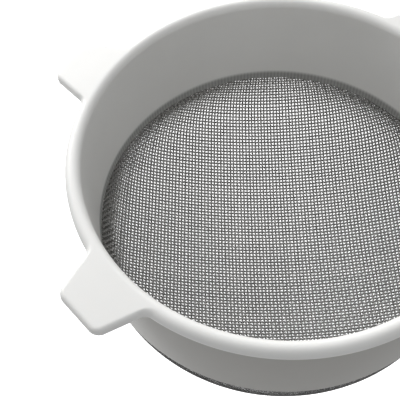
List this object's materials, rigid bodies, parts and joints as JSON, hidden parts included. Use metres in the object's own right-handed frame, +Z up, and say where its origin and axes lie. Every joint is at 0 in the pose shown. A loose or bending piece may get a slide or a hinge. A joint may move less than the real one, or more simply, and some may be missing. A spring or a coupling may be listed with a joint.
{
  "type": "double sieve strainer",
  "caption": "Round double sieve for a jar's mouth: a lipped ring with flat lugs holds a coarse steel mesh bowl, and a fine sieve pushes on from below.",
  "frame": {"origin": "on the sieve's axis, in the plane of the jar's rim that the undersides of the lugs lie in", "axes": "+Z up along the sieve's axis, out of the open mouth; the lugs stand in two pairs, one pair towards +X and one towards -X"},
  "size_m": [0.1102, 0.1068, 0.0562],
  "materials": {
    "coarse_plastic": "smooth moulded white polypropylene",
    "coarse_steel": "woven stainless wire, 1.05 mm pitch",
    "fine_plastic": "smooth moulded white polypropylene",
    "fine_steel": "fine woven stainless wire"
  },
  "bodies": {
    "coarse_sieve": {"coarse_sieve_ring": "coarse_plastic", "coarse_wire_cloth": "coarse_steel"},
    "fine_sieve": {"fine_sieve_ring": "fine_plastic", "fine_wire_cloth": "fine_steel"}
  },
  "joints": [
    {"name": "fine_sieve_pull_off", "type": "slide", "parent": "coarse_sieve", "child": "fine_sieve", "axis": [0, 0, -1], "range_m": [0, 0.06]}
  ]
}
